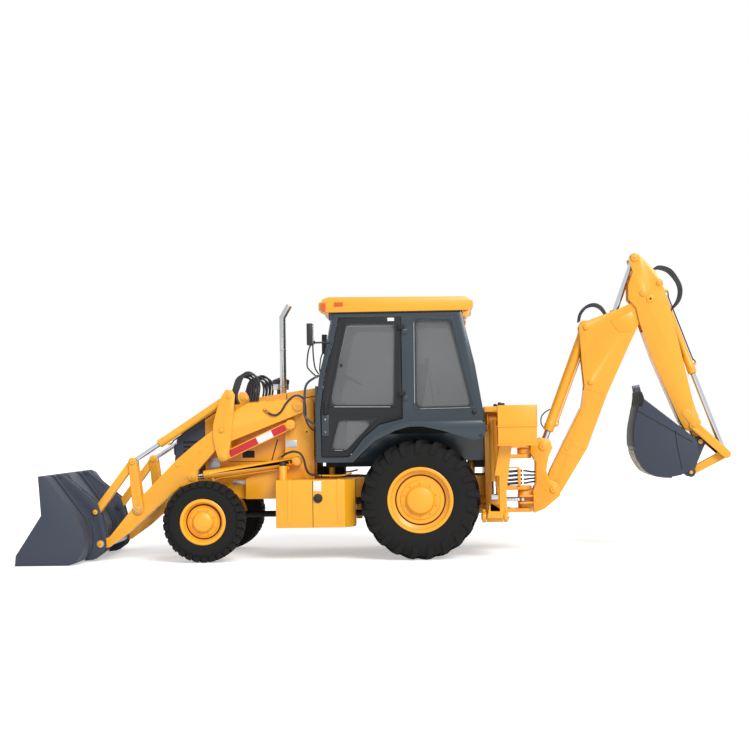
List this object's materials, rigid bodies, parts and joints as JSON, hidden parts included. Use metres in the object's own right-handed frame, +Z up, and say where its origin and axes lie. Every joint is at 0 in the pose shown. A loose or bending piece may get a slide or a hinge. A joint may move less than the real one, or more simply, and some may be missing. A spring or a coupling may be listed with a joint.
{
  "type": "backhoe loader",
  "caption": "Backhoe loader with hollow glazed cab, levelled front loader, side-view backhoe folded for travel, flip-up stabilisers, steered front wheels and rolling tyres.",
  "frame": {"origin": "middle of the bounding box on the ground plane", "axes": "-X to the front (loader bucket), +X to the backhoe, -Y the left side, +Z up"},
  "size_m": [7.7519, 2.3, 3.319],
  "materials": {
    "yellow_paint": "gloss machine yellow",
    "navy_paint": "satin dark blue grey",
    "black_paint": "satin black",
    "silver_rod": "polished rod",
    "steel": "bare steel",
    "tyre": "black rubber tyre",
    "glass": "grey tinted",
    "black_plastic": "grained black"
  },
  "bodies": {
    "machine": {"chassis": "yellow_paint", "driveline": "black_paint", "hood": "yellow_paint", "grille": "navy_paint", "cab_frame": "navy_paint", "cab_roof": "yellow_paint", "cab_glass": "glass", "side_tanks": "yellow_paint", "exhaust": "steel", "operator_station": "black_plastic", "cab_trim": "black_plastic", "rear_frame": "yellow_paint"},
    "door_left": {"door_left": "navy_paint", "door_glass_left": "glass"},
    "door_right": {"door_right": "navy_paint", "door_glass_right": "glass"},
    "knuckle_left": {"knuckle_left": "yellow_paint"},
    "knuckle_right": {"knuckle_right": "yellow_paint"},
    "front_wheel_left": {"front_tyre_left": "tyre", "front_rim_left": "yellow_paint"},
    "front_wheel_right": {"front_tyre_right": "tyre", "front_rim_right": "yellow_paint"},
    "rear_wheel_left": {"rear_tyre_left": "tyre", "rear_rim_left": "yellow_paint"},
    "rear_wheel_right": {"rear_tyre_right": "tyre", "rear_rim_right": "yellow_paint"},
    "loader_arm": {"loader_arm": "yellow_paint"},
    "lift_barrels": {"lift_barrels": "yellow_paint"},
    "lift_rods": {"lift_rods": "silver_rod"},
    "levelling_rods": {"levelling_rods": "yellow_paint"},
    "knee_plates": {"knee_plates": "yellow_paint"},
    "tilt_barrels": {"tilt_barrels": "yellow_paint"},
    "tilt_rods": {"tilt_rods": "silver_rod"},
    "levers": {"levers": "yellow_paint"},
    "lever_pins": {"lever_pins": "steel"},
    "bucket_links": {"bucket_links": "yellow_paint"},
    "bucket_pins": {"bucket_pins": "steel"},
    "loader_bucket": {"loader_bucket": "navy_paint"},
    "swing_post": {"swing_post": "yellow_paint"},
    "swing_barrel_left": {"swing_barrel_left": "yellow_paint"},
    "swing_barrel_right": {"swing_barrel_right": "yellow_paint"},
    "swing_rod_left": {"swing_rod_left": "silver_rod"},
    "swing_rod_right": {"swing_rod_right": "silver_rod"},
    "boom": {"boom": "yellow_paint"},
    "boom_barrel": {"boom_barrel": "yellow_paint"},
    "boom_rod": {"boom_rod": "silver_rod"},
    "dipper": {"dipper": "yellow_paint"},
    "dipper_barrel": {"dipper_barrel": "yellow_paint"},
    "dipper_rod": {"dipper_rod": "silver_rod"},
    "dig_barrel": {"dig_barrel": "yellow_paint"},
    "dig_rod": {"dig_rod": "silver_rod"},
    "tipping_lever": {"tipping_lever": "yellow_paint"},
    "dig_link": {"dig_link": "yellow_paint"},
    "dig_bucket": {"dig_bucket": "navy_paint"},
    "stabiliser_leg_left": {"stabiliser_leg_left": "yellow_paint"},
    "stabiliser_leg_right": {"stabiliser_leg_right": "yellow_paint"},
    "stabiliser_barrel_left": {"stabiliser_barrel_left": "yellow_paint"},
    "stabiliser_barrel_right": {"stabiliser_barrel_right": "yellow_paint"},
    "stabiliser_rod_left": {"stabiliser_rod_left": "silver_rod"},
    "stabiliser_rod_right": {"stabiliser_rod_right": "silver_rod"}
  },
  "joints": [
    {"name": "steer", "type": "hinge", "parent": "machine", "child": "knuckle_left", "pos_m": [-1.88, -0.69, 0.436], "axis": [0, 0, 1], "range_deg": [-35, 35]},
    {"name": "steer_right", "type": "hinge", "parent": "machine", "child": "knuckle_right", "pos_m": [-1.88, 0.69, 0.436], "axis": [0, 0, 1], "range_deg": [-35, 35]},
    {"name": "front_roll_left", "type": "hinge", "parent": "knuckle_left", "child": "front_wheel_left", "pos_m": [-1.88, -0.9, 0.436], "axis": [0, 1, 0], "continuous": true},
    {"name": "rear_roll_left", "type": "hinge", "parent": "machine", "child": "rear_wheel_left", "pos_m": [0.439, -0.83, 0.638], "axis": [0, 1, 0], "continuous": true},
    {"name": "front_roll_right", "type": "hinge", "parent": "knuckle_right", "child": "front_wheel_right", "pos_m": [-1.88, 0.9, 0.436], "axis": [0, 1, 0], "continuous": true},
    {"name": "rear_roll_right", "type": "hinge", "parent": "machine", "child": "rear_wheel_right", "pos_m": [0.439, 0.83, 0.638], "axis": [0, 1, 0], "continuous": true},
    {"name": "door_left_swing", "type": "hinge", "parent": "machine", "child": "door_left", "pos_m": [0.282, -0.796, 1.041], "axis": [0, 0, 1], "range_deg": [0, 80]},
    {"name": "door_right_swing", "type": "hinge", "parent": "machine", "child": "door_right", "pos_m": [0.282, 0.796, 1.041], "axis": [0, 0, -1], "range_deg": [0, 80]},
    {"name": "lift", "type": "hinge", "parent": "machine", "child": "loader_arm", "pos_m": [-0.885, 0, 1.665], "axis": [0, 1, 0], "range_deg": [0, 70]},
    {"name": "lift_barrel_turn", "type": "hinge", "parent": "machine", "child": "lift_barrels", "pos_m": [-0.904, 0, 1.061], "axis": [0, 1, 0], "range_deg": [0, 63.23]},
    {"name": "lift_rod_slide", "type": "slide", "parent": "lift_barrels", "child": "lift_rods", "axis": [-0.9909, 0, -0.1343], "range_m": [0, 0.6788]},
    {"name": "level_rod_turn", "type": "hinge", "parent": "machine", "child": "levelling_rods", "pos_m": [-0.968, 0, 1.457], "axis": [0, 1, 0], "range_deg": [0, 76.05]},
    {"name": "knee_turn", "type": "hinge", "parent": "loader_arm", "child": "knee_plates", "pos_m": [-1.724, 0, 1.408], "axis": [0, -1, 0], "range_deg": [0, 50.92]},
    {"name": "tilt_barrel_turn", "type": "hinge", "parent": "knee_plates", "child": "tilt_barrels", "pos_m": [-1.636, 0, 1.777], "axis": [0, 1, 0], "range_deg": [0, 47.48]},
    {"name": "lever_level", "type": "hinge", "parent": "loader_arm", "child": "lever_pins", "pos_m": [-2.647, 0, 0.564], "axis": [0, -1, 0], "range_deg": [0, 33.75]},
    {"name": "bucket_level", "type": "hinge", "parent": "loader_arm", "child": "bucket_pins", "pos_m": [-3.063, 0, 0.191], "axis": [0, -1, 0], "range_deg": [0, 48.05]},
    {"name": "tilt", "type": "hinge", "parent": "bucket_pins", "child": "loader_bucket", "pos_m": [-3.063, 0, 0.191], "axis": [0, -1, 0], "range_deg": [-30, 65]},
    {"name": "lever_turn", "type": "hinge", "parent": "lever_pins", "child": "levers", "pos_m": [-2.647, 0, 0.564], "axis": [0, -1, 0], "range_deg": [-21.65, 45.73]},
    {"name": "tilt_rod_slide", "type": "slide", "parent": "tilt_barrels", "child": "tilt_rods", "axis": [-0.838, 0, -0.5456], "range_m": [-0.1819, 0.3895]},
    {"name": "link_turn", "type": "hinge", "parent": "tilt_rods", "child": "bucket_links", "pos_m": [-2.705, 0, 1.081], "axis": [0, -1, 0], "range_deg": [-4.86, 9.36]},
    {"name": "swing", "type": "hinge", "parent": "machine", "child": "swing_post", "pos_m": [1.58, 0, 0.44], "axis": [0, 0, 1], "range_deg": [-75, 75]},
    {"name": "swing_barrel_left_turn", "type": "hinge", "parent": "machine", "child": "swing_barrel_left", "pos_m": [0.84, -0.17, 0.585], "axis": [0, 0, 1], "range_deg": [-2.95, 2.95]},
    {"name": "swing_rod_left_slide", "type": "slide", "parent": "swing_barrel_left", "child": "swing_rod_left", "axis": [0.9985, 0.0555, 0], "range_m": [-0.121, 0.121]},
    {"name": "swing_barrel_right_turn", "type": "hinge", "parent": "machine", "child": "swing_barrel_right", "pos_m": [0.84, 0.17, 0.585], "axis": [0, 0, 1], "range_deg": [-2.95, 2.95]},
    {"name": "swing_rod_right_slide", "type": "slide", "parent": "swing_barrel_right", "child": "swing_rod_right", "axis": [0.9985, -0.0555, 0], "range_m": [-0.121, 0.121]},
    {"name": "boom_turn", "type": "hinge", "parent": "swing_post", "child": "boom", "pos_m": [1.909, 0, 0.69], "axis": [0, 1, 0], "range_deg": [0, 75]},
    {"name": "boom_barrel_turn", "type": "hinge", "parent": "boom", "child": "boom_barrel", "pos_m": [2.31, 0, 2.496], "axis": [0, 1, 0], "range_deg": [0, 9.1]},
    {"name": "boom_rod_slide", "type": "slide", "parent": "boom_barrel", "child": "boom_rod", "axis": [-0.3568, 0, -0.9342], "range_m": [0, 0.5703]},
    {"name": "dipper_turn", "type": "hinge", "parent": "boom", "child": "dipper", "pos_m": [2.949, 0, 2.865], "axis": [0, -1, 0], "range_deg": [0, 90]},
    {"name": "dipper_barrel_turn", "type": "hinge", "parent": "boom", "child": "dipper_barrel", "pos_m": [2.35, 0, 1.88], "axis": [0, -1, 0], "range_deg": [0, 12.7]},
    {"name": "dipper_rod_slide", "type": "slide", "parent": "dipper_barrel", "child": "dipper_rod", "axis": [0.3491, 0, 0.9371], "range_m": [-0.5395, 0]},
    {"name": "dig", "type": "hinge", "parent": "dipper", "child": "dig_bucket", "pos_m": [3.552, 0, 1.198], "axis": [0, -1, 0], "range_deg": [0, 120]},
    {"name": "tipping_lever_turn", "type": "hinge", "parent": "dipper", "child": "tipping_lever", "pos_m": [3.478, 0, 1.38], "axis": [0, -1, 0], "range_deg": [0, 79.36]},
    {"name": "dig_link_turn", "type": "hinge", "parent": "tipping_lever", "child": "dig_link", "pos_m": [3.829, 0, 1.058], "axis": [0, -1, 0], "range_deg": [-1.96, 0]},
    {"name": "dig_barrel_turn", "type": "hinge", "parent": "dipper", "child": "dig_barrel", "pos_m": [3.127, 0, 2.975], "axis": [0, -1, 0], "range_deg": [0, 11.92]},
    {"name": "dig_rod_slide", "type": "slide", "parent": "dig_barrel", "child": "dig_rod", "axis": [0.3439, 0, -0.939], "range_m": [-0.508, 0]},
    {"name": "stabiliser_left_turn", "type": "hinge", "parent": "machine", "child": "stabiliser_leg_left", "pos_m": [1.23, -0.85, 0.44], "axis": [1, 0, 0], "range_deg": [0, 115]},
    {"name": "stabiliser_barrel_left_turn", "type": "hinge", "parent": "machine", "child": "stabiliser_barrel_left", "pos_m": [1.23, -0.65, 1.48], "axis": [1, 0, 0], "range_deg": [-8.48, 0]},
    {"name": "stabiliser_rod_left_slide", "type": "slide", "parent": "stabiliser_barrel_left", "child": "stabiliser_rod_left", "axis": [0, -0.2508, -0.968], "range_m": [0, 0.3306]},
    {"name": "stabiliser_right_turn", "type": "hinge", "parent": "machine", "child": "stabiliser_leg_right", "pos_m": [1.23, 0.85, 0.44], "axis": [-1, 0, 0], "range_deg": [0, 115]},
    {"name": "stabiliser_barrel_right_turn", "type": "hinge", "parent": "machine", "child": "stabiliser_barrel_right", "pos_m": [1.23, 0.65, 1.48], "axis": [-1, 0, 0], "range_deg": [-8.48, 0]},
    {"name": "stabiliser_rod_right_slide", "type": "slide", "parent": "stabiliser_barrel_right", "child": "stabiliser_rod_right", "axis": [0, 0.2508, -0.968], "range_m": [0, 0.3306]}
  ],
  "couplings": [
    {"joint": "steer_right", "follows": "steer", "ratio": 1},
    {"joint": "lift_barrel_turn", "follows": "lift", "ratio": 0.889},
    {"joint": "lift_rod_slide", "follows": "lift", "m_per_rad": 0.55233},
    {"joint": "level_rod_turn", "follows": "lift", "ratio": 1.0722},
    {"joint": "knee_turn", "follows": "lift", "ratio": 0.7131},
    {"joint": "tilt_barrel_turn", "follows": "lift", "ratio": 0.664},
    {"joint": "lever_level", "follows": "lift", "ratio": 0.4679},
    {"joint": "bucket_level", "follows": "lift", "ratio": 0.6721},
    {"joint": "lever_turn", "follows": "tilt", "ratio": 0.6882},
    {"joint": "tilt_rod_slide", "follows": "tilt", "m_per_rad": 0.33976},
    {"joint": "link_turn", "follows": "tilt", "ratio": 0.1286},
    {"joint": "swing_barrel_left_turn", "follows": "swing", "ratio": -0.026},
    {"joint": "swing_rod_left_slide", "follows": "swing", "m_per_rad": 0.08938},
    {"joint": "swing_barrel_right_turn", "follows": "swing", "ratio": -0.026},
    {"joint": "swing_rod_right_slide", "follows": "swing", "m_per_rad": -0.08938},
    {"joint": "boom_barrel_turn", "follows": "boom_turn", "ratio": 0.108},
    {"joint": "boom_rod_slide", "follows": "boom_turn", "m_per_rad": 0.43258},
    {"joint": "dipper_barrel_turn", "follows": "dipper_turn", "ratio": 0.13},
    {"joint": "dipper_rod_slide", "follows": "dipper_turn", "m_per_rad": -0.34091},
    {"joint": "tipping_lever_turn", "follows": "dig", "ratio": 0.653},
    {"joint": "dig_link_turn", "follows": "dig", "ratio": -0.008},
    {"joint": "dig_barrel_turn", "follows": "dig", "ratio": 0.091},
    {"joint": "dig_rod_slide", "follows": "dig", "m_per_rad": -0.24064},
    {"joint": "stabiliser_barrel_left_turn", "follows": "stabiliser_left_turn", "ratio": -0.065},
    {"joint": "stabiliser_rod_left_slide", "follows": "stabiliser_left_turn", "m_per_rad": 0.16272},
    {"joint": "stabiliser_barrel_right_turn", "follows": "stabiliser_right_turn", "ratio": -0.065},
    {"joint": "stabiliser_rod_right_slide", "follows": "stabiliser_right_turn", "m_per_rad": 0.16272}
  ]
}
